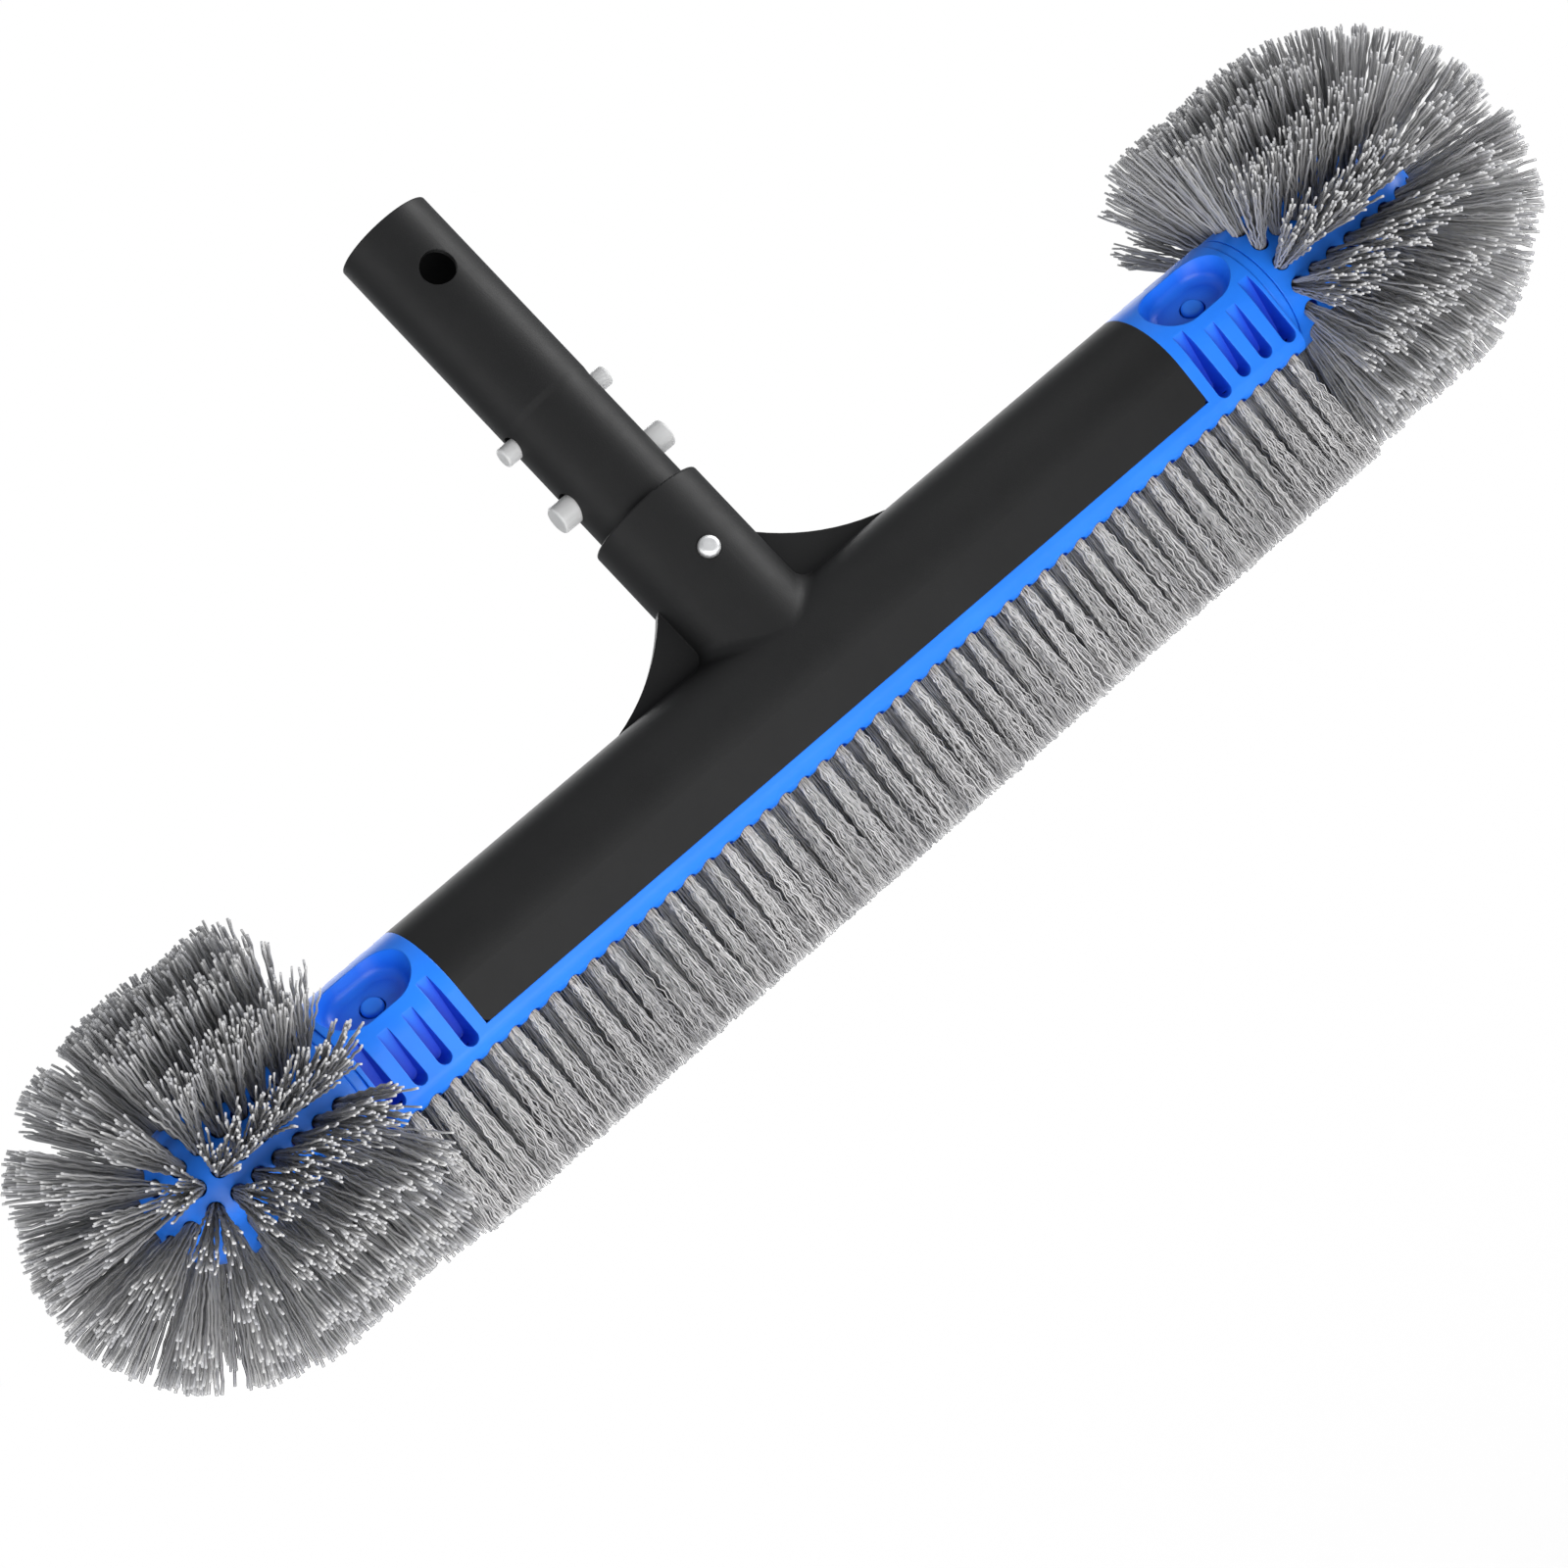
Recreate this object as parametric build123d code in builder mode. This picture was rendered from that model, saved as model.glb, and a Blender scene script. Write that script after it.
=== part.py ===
import math
import os

from build123d import *

os.makedirs("parts", exist_ok=True)

# Frame: X along the brush, -Y the front with the buttons, Z up towards the handle.
# The origin lies on the plane of the bristle tips, under the middle of the brush.

# Overall
overall_length = 508.0
tip_radius = 52.0
axis_z = tip_radius
clearance = 0.1

# Back housing
arch_r = 20.0
housing_wall = 2.6
housing_half = 128.0
skirt_drop = 11.7
rim_edge = 0.6
skirt_corner = 2.0

# Handle, measured along its own axis from the brush axis
handle_tilt = 13.5
socket_r = 17.2
socket_top = 60.2
socket_floor = 21.8
tube_r = 14.3
tube_bore_r = 12.5
tube_low = 22.0
tube_top = 160.7
pole_seat = 99.0
pole_relief = 0.2
relief_ramp = 2.0
cross_hole_r = 4.9
cross_hole_at = 141.7
web_thickness = 5.0
web_start = (16.0, 38.8)
web_middle = (30.0, 27.2)
web_end = (50.0, 19.3)
web_foot = 15.0
socket_blend = 4.0

# Brush bed
bed_low = 18.2
bed_corner = 5.0
bed_tongue = 2.0
bed_half = 161.0
collar_wall = 2.4
bulkhead = 2.4
collar_lid = 1.6
neck_length = 7.0
neck_wall = 2.0
step_room = 1.0
sleeve_r = 13.2
sleeve_bore_r = 11.3

# Grip grooves of a collar: each runs in from the surface at its top and is deepest at its foot
groove_first = 133.6
groove_pitch = 8.1
groove_tops = (7.0, 3.6, 3.6, 7.0)
groove_foot = -9.3
groove_lean = 19.0
groove_floor_r = 1.7
groove_draft = 4.0
groove_height = 10.0
collar_core = 10.4

# Grip notches across the top of a collar, in line with its grooves
notch_angle = 96.0
notch_straight = 2.4
notch_depth = 1.4
notch_floor_r = 1.0
notch_draft = 35.0
notch_height = 3.0

# Finger recesses of a collar
recess_x = 145.4
recess_angle = 47.0
recess_end_r = 8.8
recess_straight = 8.4
recess_rim = 17.6
recess_mouth = 22.0
recess_floor = 13.2
recess_draft = 22.0
recess_wall = 1.8
recess_corner = 3.0
button_angle = 41.0
button_hole_r = 3.5

# Bed tufts: each widens from its root to its tip, where it meets the next one in its row
tuft_root_r = 2.0
tuft_hole_r = 2.3
tuft_seat = 5.5
tuft_tip_r = 3.5
tuft_pitch = 6.64
tufts_in_row = 48
row_pitch = 8.0

# Screws that hold the bed to the housing
screw_places = (6.5, 16.5)
screw_r = 1.45
screw_pilot_r = 1.5
screw_head_r = 2.9
screw_head_h = 2.0
screw_recess = 2.6
screw_length = 16.0
screw_cross = (3.4, 0.8, 1.0)
screw_play = 0.2
head_play = 0.3
boss_r = 3.8

# End brush
flange_thickness = 3.2
flange_edge = 0.4
hub_start = 164.3
hub_r = 19.6
hub_straight_end = 202.0
hub_wall = 7.6
spigot_r = 11.2
spigot_bore_r = 9.2
spigot_end = 131.5
spigot_plug = 8.0
overlap = 1.0
ring_first = 169.6
ring_pitch = 6.6
ring_count = 6
ring_tufts_count = 16
dome_rings = ((67.0, 16), (44.0, 12), (22.0, 6))

# Snap buttons of the end brushes
button_r = 3.1
button_top = 14.4
button_edge = 1.0
foot_top = 8.4
foot_thickness = 1.0
foot_length = 10.0
foot_width = 7.0
tongue_length = 14.0
tongue_width = 5.0

# V-clip in the handle
strip_width = 9.0
strip_thickness = 1.6
bend_r = 7.0
bend_at = 40.0
knuckle_r = 1.3
arm_root = 0.7
arm_outer = 11.4
arm_shoulder = 60.0
arm_top = 101.0
small_pin_at = 94.9
small_pin_r = 2.85
small_pin_reach = 18.3
big_pin_at = 73.2
big_pin_r = 4.0
big_pin_reach = 19.3
pin_edge = 0.6
pin_hole_play = 0.55
pin_hole_lift = 0.4

# Snap button of the handle
snap_at = 39.5
snap_r = 3.05
snap_hole_play = 0.2
snap_reach = 17.4
snap_dome = 1.5
snap_leaf_outer = 12.1
snap_leaf_thickness = 0.8
snap_leaf_width = 5.6
snap_leaf_low = 35.0
snap_leaf_top = 60.0


tilt = math.radians(handle_tilt)
handle_plane = Plane(
    origin=(0, 0, axis_z), x_dir=(1, 0, 0), z_dir=(0, math.sin(tilt), math.cos(tilt))
)
bed_under = axis_z - bed_low
tuft_free = tip_radius - bed_low
end_tuft_length = tip_radius - hub_r + tuft_seat
tube_low_r = tube_r - pole_relief
low_center = (Align.CENTER, Align.CENTER, Align.MIN)
top_center = (Align.CENTER, Align.CENTER, Align.MAX)
foot_low = foot_top - foot_thickness


def section_plane(x):
    """Plane across the brush: local x is +Y, local y is +Z, normal is +X."""
    return Plane(origin=(x, 0, axis_z), x_dir=(0, 1, 0), z_dir=(1, 0, 0))


def along_x(x):
    """Location with its z axis along +X on the brush axis."""
    return section_plane(x).location


def on_handle(x, y, t):
    """Location in the handle's own frame: y is to the rear, t is along the tube."""
    return handle_plane.location * Location((x, y, t))


def across_handle(x, t):
    """Location whose z axis points out of the front of the handle."""
    return on_handle(x, 0, t) * Location((0, 0, 0), (90, 0, 0))


def sideways_handle(side, t):
    """Location whose z axis points out of one side of the handle."""
    return on_handle(0, 0, t) * Location((0, 0, 0), (0, 90 * side, 0))


def slanted(x, face, angle):
    """Plane on the brush axis, normal up by that angle to the front or the rear."""
    turn = math.radians(angle)
    return Plane(
        origin=(x, 0, axis_z), x_dir=(1, 0, 0), z_dir=(0, face * math.cos(turn), math.sin(turn))
    )


def d_section(radius, low):
    """Section with a half-round crown, straight sides and a flat foot."""
    with BuildSketch() as section:
        with BuildLine():
            ThreePointArc((radius, 0), (0, radius), (-radius, 0))
            Polyline((-radius, 0), (-radius, -low), (radius, -low), (radius, 0))
        make_face()
    return section.sketch


def rounded_section(radius, low, corner):
    """The same section with rounded lower corners."""
    inset = corner * (1 - math.sqrt(0.5))
    with BuildSketch() as section:
        with BuildLine():
            ThreePointArc((radius, 0), (0, radius), (-radius, 0))
            Line((-radius, 0), (-radius, corner - low))
            ThreePointArc(
                (-radius, corner - low), (inset - radius, inset - low), (corner - radius, -low)
            )
            Line((corner - radius, -low), (radius - corner, -low))
            ThreePointArc(
                (radius - corner, -low), (radius - inset, inset - low), (radius, corner - low)
            )
            Line((radius, corner - low), (radius, 0))
        make_face()
    return section.sketch


def arch_section(outer, inner, drop):
    """Section of an arched shell with straight skirts."""
    with BuildSketch() as section:
        with BuildLine():
            ThreePointArc((outer, 0), (0, outer), (-outer, 0))
            Polyline((-outer, 0), (-outer, -drop), (-inner, -drop), (-inner, 0))
            ThreePointArc((-inner, 0), (0, inner), (inner, 0))
            Polyline((inner, 0), (inner, -drop), (outer, -drop), (outer, 0))
        make_face()
    return section.sketch


def flared_slot(straight, low, high, low_r, draft):
    """Block with round ends that widens upwards from the height low to the height high."""
    high_r = low_r + (high - low) * math.tan(math.radians(draft))
    with BuildPart() as block:
        with BuildSketch(Plane.YZ):
            Polygon((-low_r, low), (low_r, low), (high_r, high), (-high_r, high), align=None)
        extrude(amount=straight / 2, both=True)
        with Locations((-straight / 2, 0, low), (straight / 2, 0, low)):
            Cone(low_r, high_r, high - low, align=low_center)
    return block.part


def recess_block(low, wider):
    """Finger recess, or the wider cup that walls it in, from the height low to the mouth."""
    flare = math.tan(math.radians(recess_draft))
    low_r = recess_end_r + wider + (low - recess_rim) * flare
    return flared_slot(recess_straight, low, recess_mouth, low_r, recess_draft)


def groove_location(number, face):
    """Middle of a groove's floor: x axis up along the groove, z axis out of the collar."""
    top = groove_tops[number]
    lean = math.radians(groove_lean)
    surface = math.sqrt(arch_r**2 - top**2)
    middle = (top + groove_foot) / 2
    inward = (top - middle) * math.tan(lean)
    return Plane(
        origin=(
            groove_first + number * groove_pitch,
            face * (surface - inward),
            axis_z + middle,
        ),
        x_dir=(0, face * math.sin(lean), math.cos(lean)),
        z_dir=(0, face * math.cos(lean), -math.sin(lean)),
    ).location


def notch_location(number):
    """Middle of a notch's floor: x axis along the notch, z axis out of the collar."""
    turn = math.radians(notch_angle)
    way = (0, -math.cos(turn), math.sin(turn))
    floor_r = arch_r - notch_depth
    return Plane(
        origin=(
            groove_first + number * groove_pitch,
            floor_r * way[1],
            axis_z + floor_r * way[2],
        ),
        x_dir=(0, way[2], -way[1]),
        z_dir=way,
    ).location


def row_positions(count):
    """Tuft positions along X for a row, centred on the brush."""
    return [(number - (count - 1) / 2) * tuft_pitch for number in range(count)]


screw_xs = [side * place * tuft_pitch for place in screw_places for side in (-1, 1)]
bed_rows = {
    "front": [(x, -2 * row_pitch) for x in row_positions(tufts_in_row)],
    "second": [(x, -row_pitch) for x in row_positions(tufts_in_row)],
    "middle": [
        (x, 0)
        for x in row_positions(tufts_in_row)
        if min(abs(x - at) for at in screw_xs) > tuft_pitch / 2
    ],
    "fourth": [(x, row_pitch) for x in row_positions(tufts_in_row)],
    "back": [(x, 2 * row_pitch) for x in row_positions(tufts_in_row)],
}


def ring_locations(side):
    """Root of every tuft on the straight part of a hub, z axis along the tuft."""
    places = []
    for ring in range(ring_count):
        x = ring_first + ring * ring_pitch
        for number in range(ring_tufts_count):
            turn = math.radians((number + 0.5) * 360 / ring_tufts_count)
            way = (0, -math.cos(turn), math.sin(turn))
            root = (side * x, hub_r * way[1], axis_z + hub_r * way[2])
            places.append(Plane(origin=root, z_dir=way).location)
    return places


def dome_locations(side):
    """Root of every tuft on the rounded nose of a hub, z axis along the tuft."""
    center = side * hub_straight_end
    nose = Plane(origin=(center + side * hub_r, 0, axis_z), z_dir=(side, 0, 0))
    places = [nose.location]
    for polar, count in dome_rings:
        tilt_off = math.radians(polar)
        for number in range(count):
            turn = math.radians((number + 0.5) * 360 / count)
            way = (
                side * math.cos(tilt_off),
                -math.sin(tilt_off) * math.cos(turn),
                math.sin(tilt_off) * math.sin(turn),
            )
            root = (center + hub_r * way[0], hub_r * way[1], axis_z + hub_r * way[2])
            places.append(Plane(origin=root, z_dir=way).location)
    return places


housing_outline = d_section(arch_r, skirt_drop)
housing_inside = d_section(arch_r - housing_wall, skirt_drop)
collar_inside = d_section(arch_r - collar_wall, skirt_drop)
bed_outline = rounded_section(arch_r, bed_low, bed_corner)
neck_r = arch_r - housing_wall - clearance
neck_outline = arch_section(neck_r, neck_r - neck_wall, skirt_drop - bed_tongue)

# Back housing: arched shell, socket, webs and screw bosses
with BuildPart() as back_housing:
    with BuildSketch(section_plane(-housing_half)):
        add(housing_outline)
    extrude(amount=2 * housing_half)
    skirt_corners = back_housing.edges().filter_by(Axis.Y).group_by(Axis.Z)[0]
    fillet(skirt_corners, skirt_corner)
    with Locations(on_handle(0, 0, 0)):
        Cylinder(socket_r, socket_top, align=low_center)
    crotch = back_housing.edges().filter_by(
        lambda edge: edge.geom_type not in (GeomType.LINE, GeomType.CIRCLE)
        and edge.center().Z > axis_z
    )
    fillet(crotch, socket_blend)
    with BuildSketch(Plane(handle_plane.origin, x_dir=(1, 0, 0), z_dir=handle_plane.y_dir * -1)):
        with BuildLine():
            ThreePointArc(web_start, web_middle, web_end)
            Polyline(web_end, (web_end[0], web_foot), (-web_end[0], web_foot))
            Line((-web_end[0], web_foot), (-web_end[0], web_end[1]))
            ThreePointArc(
                (-web_end[0], web_end[1]),
                (-web_middle[0], web_middle[1]),
                (-web_start[0], web_start[1]),
            )
            Line((-web_start[0], web_start[1]), web_start)
        make_face()
    extrude(amount=web_thickness / 2, both=True)
    with BuildSketch(section_plane(-housing_half)):
        add(housing_inside)
    extrude(amount=2 * housing_half, mode=Mode.SUBTRACT)
    with Locations(on_handle(0, 0, socket_floor)):
        Cylinder(tube_low_r + clearance, socket_top, align=low_center, mode=Mode.SUBTRACT)
    with Locations(across_handle(0, snap_at)):
        Cylinder(snap_r + snap_hole_play, socket_r + overlap, align=low_center, mode=Mode.SUBTRACT)
    boss_low = axis_z - skirt_drop + bed_tongue + clearance
    boss_top = axis_z + arch_r - housing_wall / 2
    with Locations(*[(x, 0, boss_low) for x in screw_xs]):
        Cylinder(boss_r, boss_top - boss_low, align=low_center)
        Cylinder(screw_pilot_r, screw_length, align=low_center, mode=Mode.SUBTRACT)
    rim = back_housing.edges().filter_by(GeomType.CIRCLE).filter_by(
        lambda edge: abs(edge.radius - socket_r) < clearance
        and handle_plane.to_local_coords(edge.center()).Z > socket_top - clearance
    )
    fillet(rim, rim_edge)
back_housing.part.label = "back_housing"
export_step(back_housing.part, "parts/back_housing.step")

recess_cup = recess_block(0, recess_wall)
with BuildPart() as recess_hollow:
    add(recess_block(recess_floor, 0))
    fillet(recess_hollow.edges().group_by(Axis.Z)[0], recess_corner)
notch = flared_slot(notch_straight, 0, notch_height, notch_floor_r, notch_draft)

grooves = [
    flared_slot(
        (top - groove_foot) / math.cos(math.radians(groove_lean)),
        0,
        groove_height,
        groove_floor_r,
        groove_draft,
    )
    for top in groove_tops
]

# Hollow inside a right collar, between its shell and its inner sleeve
with BuildPart() as collar_hollow:
    with BuildSketch(section_plane(housing_half + bulkhead)):
        add(collar_inside)
    extrude(amount=bed_half - collar_lid - housing_half - bulkhead)
    with Locations(along_x(housing_half)):
        Cylinder(sleeve_r, bed_half - housing_half, align=low_center, mode=Mode.SUBTRACT)
    for face in (-1, 1):
        with Locations(slanted(recess_x, face, recess_angle).location):
            add(recess_cup, mode=Mode.SUBTRACT)
        with Locations((housing_half, face * collar_core, axis_z)):
            Box(
                bed_half - housing_half,
                arch_r,
                2 * arch_r,
                align=(Align.MIN, Align.MIN if face > 0 else Align.MAX, Align.CENTER),
                mode=Mode.SUBTRACT,
            )

# Brush bed: strip, both collars and the tuft holes
with BuildPart() as brush_bed:
    with BuildSketch(section_plane(0)):
        add(bed_outline)
    extrude(amount=bed_half)
    with BuildSketch(section_plane(0)):
        with Locations((0, -skirt_drop)):
            Rectangle(
                2 * (arch_r + step_room), 2 * arch_r, align=(Align.CENTER, Align.MIN)
            )
    extrude(amount=housing_half, mode=Mode.SUBTRACT)
    with Locations((0, 0, axis_z - skirt_drop)):
        Box(
            housing_half,
            2 * neck_r,
            bed_tongue,
            align=(Align.MIN, Align.CENTER, Align.MIN),
        )
    with BuildSketch(section_plane(housing_half - neck_length)):
        add(neck_outline)
    extrude(amount=neck_length)
    add(collar_hollow.part, mode=Mode.SUBTRACT)
    with Locations(along_x(housing_half + bulkhead)):
        Cylinder(sleeve_bore_r, bed_half, align=low_center, mode=Mode.SUBTRACT)
    for face in (-1, 1):
        with Locations(slanted(recess_x, face, recess_angle).location):
            add(recess_hollow.part, mode=Mode.SUBTRACT)
        with Locations(slanted(recess_x, face, button_angle).location):
            Cylinder(button_hole_r, recess_mouth, align=low_center, mode=Mode.SUBTRACT)
        for number, groove in enumerate(grooves):
            with Locations(groove_location(number, face)):
                add(groove, mode=Mode.SUBTRACT)
    with Locations(*[notch_location(number) for number in range(len(groove_tops))]):
        add(notch, mode=Mode.SUBTRACT)
    with Locations(*[(x, 0, bed_under) for x in screw_xs if x > 0]):
        Cylinder(screw_r + screw_play, bed_low, align=low_center, mode=Mode.SUBTRACT)
        Cylinder(screw_head_r + head_play, screw_recess, align=low_center, mode=Mode.SUBTRACT)
    mirror(about=Plane.YZ)
    for places in bed_rows.values():
        with Locations(*[(x, y, bed_under) for x, y in places]):
            Cylinder(tuft_hole_r, tuft_seat, align=low_center, mode=Mode.SUBTRACT)
brush_bed.part.label = "brush_bed"
export_step(brush_bed.part, "parts/brush_bed.step")

# Screws from below through the bed
with BuildPart() as housing_screws:
    with Locations(*[(x, 0, bed_under + screw_recess) for x in screw_xs]):
        Cylinder(screw_head_r, screw_head_h, align=top_center)
        Cylinder(screw_r, screw_length, align=low_center)
    with Locations(*[(x, 0, bed_under + screw_recess - screw_head_h) for x in screw_xs]):
        Box(*screw_cross, align=low_center, mode=Mode.SUBTRACT)
        Box(screw_cross[1], screw_cross[0], screw_cross[2], align=low_center, mode=Mode.SUBTRACT)
housing_screws.part.label = "housing_screws"
export_step(housing_screws.part, "parts/housing_screws.step")

# Rows of bed tufts, hanging down from the underside of the bed
for row_name, places in bed_rows.items():
    with BuildPart() as tuft_row:
        with Locations(*[(x, y, bed_under + tuft_seat) for x, y in places]):
            Cone(tuft_tip_r, tuft_root_r, tuft_free + tuft_seat, align=top_center)
    tuft_row.part.label = "bed_tufts_" + row_name
    export_step(tuft_row.part, "parts/bed_tufts_" + row_name + ".step")

# The two end brushes
for end_name, side in (("left", -1), ("right", 1)):
    outward = Location((0, 0, 0), (0, 90 * side, 0))

    with BuildPart() as hub:
        with Locations(Location((side * hub_start, 0, axis_z)) * outward):
            Cylinder(hub_r, hub_straight_end - hub_start, align=low_center)
        with Locations((side * hub_straight_end, 0, axis_z)):
            Sphere(hub_r)
        with Locations(Location((side * hub_start, 0, axis_z)) * outward):
            Cylinder(
                hub_r - hub_wall,
                hub_straight_end - hub_start,
                align=low_center,
                mode=Mode.SUBTRACT,
            )
        with Locations((side * hub_straight_end, 0, axis_z)):
            Sphere(hub_r - hub_wall, mode=Mode.SUBTRACT)
        with Locations(*(ring_locations(side) + dome_locations(side))):
            Cylinder(tuft_hole_r, 2 * tuft_seat, mode=Mode.SUBTRACT)
    hub.part.label = end_name + "_hub"
    export_step(hub.part, "parts/" + end_name + "_hub.step")

    with BuildPart() as spigot:
        with Locations(Location((side * spigot_end, 0, axis_z)) * outward):
            Cylinder(spigot_r, bed_half - spigot_end + overlap, align=low_center)
        with Locations(Location((side * (bed_half + clearance), 0, axis_z)) * outward):
            Cylinder(hub_r, flange_thickness - clearance, align=low_center)
        flange_rims = spigot.edges().filter_by(GeomType.CIRCLE).group_by(SortBy.RADIUS)[-1]
        chamfer(flange_rims, flange_edge)
        with Locations(Location((side * (hub_start - overlap), 0, axis_z)) * outward):
            Cylinder(hub_r - hub_wall - clearance, spigot_plug, align=low_center)
        with Locations(Location((side * spigot_end, 0, axis_z)) * outward):
            Cylinder(spigot_bore_r, overall_length, align=low_center, mode=Mode.SUBTRACT)
        for face in (-1, 1):
            with Locations(slanted(side * recess_x, face, button_angle).location):
                Cylinder(button_hole_r, recess_mouth, align=low_center, mode=Mode.SUBTRACT)
    spigot.part.label = end_name + "_spigot"
    export_step(spigot.part, "parts/" + end_name + "_spigot.step")

    with BuildPart() as rings:
        with Locations(*ring_locations(side)):
            with Locations((0, 0, -tuft_seat)):
                Cone(tuft_root_r, tuft_tip_r, end_tuft_length, align=low_center)
    rings.part.label = end_name + "_ring_tufts"
    export_step(rings.part, "parts/" + end_name + "_ring_tufts.step")

    with BuildPart() as dome:
        with Locations(*dome_locations(side)):
            with Locations((0, 0, -tuft_seat)):
                Cone(tuft_root_r, tuft_tip_r, end_tuft_length, align=low_center)
    dome.part.label = end_name + "_dome_tufts"
    export_step(dome.part, "parts/" + end_name + "_dome_tufts.step")

    for face_name, face in (("front", -1), ("rear", 1)):
        with BuildPart() as snap:
            seat = slanted(side * recess_x, face, button_angle)
            with Locations(seat.offset(foot_low).location):
                Cylinder(button_r, button_top - foot_low, align=low_center)
                Box(foot_length, foot_width, foot_thickness, align=low_center)
            reach = foot_length / 2 + tongue_length / 2
            tongue_seat = slanted(side * (recess_x + reach), face, button_angle)
            with Locations(tongue_seat.offset(foot_low).location):
                Box(tongue_length, tongue_width, foot_thickness, align=low_center)
            crown = snap.edges().filter_by(GeomType.CIRCLE).filter_by(
                lambda edge: seat.to_local_coords(edge.center()).Z > button_top - clearance
            )
            fillet(crown, button_edge)
        snap.part.label = end_name + "_snap_" + face_name
        export_step(snap.part, "parts/" + end_name + "_snap_" + face_name + ".step")

# Handle tube with its pin holes
with BuildPart() as handle_tube:
    with Locations(on_handle(0, 0, tube_low)):
        Cylinder(tube_low_r, pole_seat - tube_low, align=low_center)
    with Locations(on_handle(0, 0, pole_seat)):
        Cylinder(tube_r, tube_top - pole_seat, align=low_center)
    with Locations(on_handle(0, 0, pole_seat - relief_ramp)):
        Cone(tube_low_r, tube_r, relief_ramp, align=low_center)
    with Locations(on_handle(0, 0, tube_low)):
        Cylinder(tube_bore_r, tube_top, align=low_center, mode=Mode.SUBTRACT)
    with Locations(across_handle(0, cross_hole_at)):
        Cylinder(cross_hole_r, 4 * tube_r, mode=Mode.SUBTRACT)
    with Locations(across_handle(0, snap_at)):
        Cylinder(snap_r + snap_hole_play, 2 * tube_r, align=low_center, mode=Mode.SUBTRACT)
    for pin_at, pin_r in ((small_pin_at, small_pin_r), (big_pin_at, big_pin_r)):
        with Locations(sideways_handle(1, pin_at + pin_hole_lift)):
            Cylinder(pin_r + pin_hole_play, 4 * tube_r, mode=Mode.SUBTRACT)
handle_tube.part.label = "handle_tube"
export_step(handle_tube.part, "parts/handle_tube.step")

# V-clip: round bend
knuckle_x = bend_r - strip_thickness / 2
front_view = Plane(handle_plane.origin, x_dir=(1, 0, 0), z_dir=handle_plane.y_dir * -1)
with BuildPart() as clip_bend:
    with BuildSketch(front_view):
        with Locations((0, bend_at)):
            Circle(bend_r)
            Circle(bend_r - strip_thickness, mode=Mode.SUBTRACT)
            Rectangle(
                3 * bend_r,
                2 * bend_r,
                align=(Align.CENTER, Align.MIN),
                mode=Mode.SUBTRACT,
            )
        with Locations((-knuckle_x, bend_at), (knuckle_x, bend_at)):
            Circle(knuckle_r + clearance, mode=Mode.SUBTRACT)
    extrude(amount=strip_width / 2, both=True)
clip_bend.part.label = "clip_bend"
export_step(clip_bend.part, "parts/clip_bend.step")

# V-clip: the two arms with their pins
for arm_name, side in (("left", -1), ("right", 1)):
    with BuildPart() as clip_arm:
        with BuildSketch(front_view):
            with BuildLine():
                Polyline(
                    (side * (knuckle_x - arm_root), bend_at),
                    (side * (knuckle_x + arm_root), bend_at),
                    (side * arm_outer, arm_shoulder),
                    (side * arm_outer, arm_top),
                    (side * (arm_outer - strip_thickness), arm_top),
                    (side * (arm_outer - strip_thickness), arm_shoulder + strip_thickness / 2),
                    close=True,
                )
            make_face()
            with Locations((side * knuckle_x, bend_at)):
                Circle(knuckle_r)
        extrude(amount=strip_width / 2, both=True)
        for pin_at, pin_r, reach in (
            (small_pin_at, small_pin_r, small_pin_reach),
            (big_pin_at, big_pin_r, big_pin_reach),
        ):
            with Locations(sideways_handle(side, pin_at)):
                Cylinder(pin_r, reach, align=low_center)
                core = arm_outer - strip_thickness
                Cylinder(pin_r + overlap, core, align=low_center, mode=Mode.SUBTRACT)
        pin_rims = clip_arm.edges().filter_by(GeomType.CIRCLE).filter_by(
            lambda edge: abs(edge.center().X) > small_pin_reach - clearance
        )
        fillet(pin_rims, pin_edge)
    clip_arm.part.label = "clip_" + arm_name + "_arm"
    export_step(clip_arm.part, "parts/clip_" + arm_name + "_arm.step")

# Handle snap: domed button on a spring leaf
with BuildPart() as handle_snap:
    with Locations(across_handle(0, snap_at)):
        with Locations((0, 0, snap_leaf_outer - snap_leaf_thickness)):
            reach = snap_reach - snap_leaf_outer + snap_leaf_thickness
            Cylinder(snap_r, reach + snap_dome, align=low_center)
    crown = handle_snap.edges().filter_by(GeomType.CIRCLE).sort_by(
        lambda edge: handle_plane.to_local_coords(edge.center()).Y
    )[0]
    fillet(crown, snap_dome)
    leaf_middle = (snap_leaf_low + snap_leaf_top) / 2
    with Locations(
        on_handle(0, snap_leaf_thickness / 2 - snap_leaf_outer, leaf_middle)
    ):
        Box(snap_leaf_width, snap_leaf_thickness, snap_leaf_top - snap_leaf_low)
handle_snap.part.label = "handle_snap"
export_step(handle_snap.part, "parts/handle_snap.step")
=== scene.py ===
"""Looks of a pool wall brush: bristles, plastics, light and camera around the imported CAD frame."""

import math

import bpy
import numpy as np
from mathutils import Matrix, Vector


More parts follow.
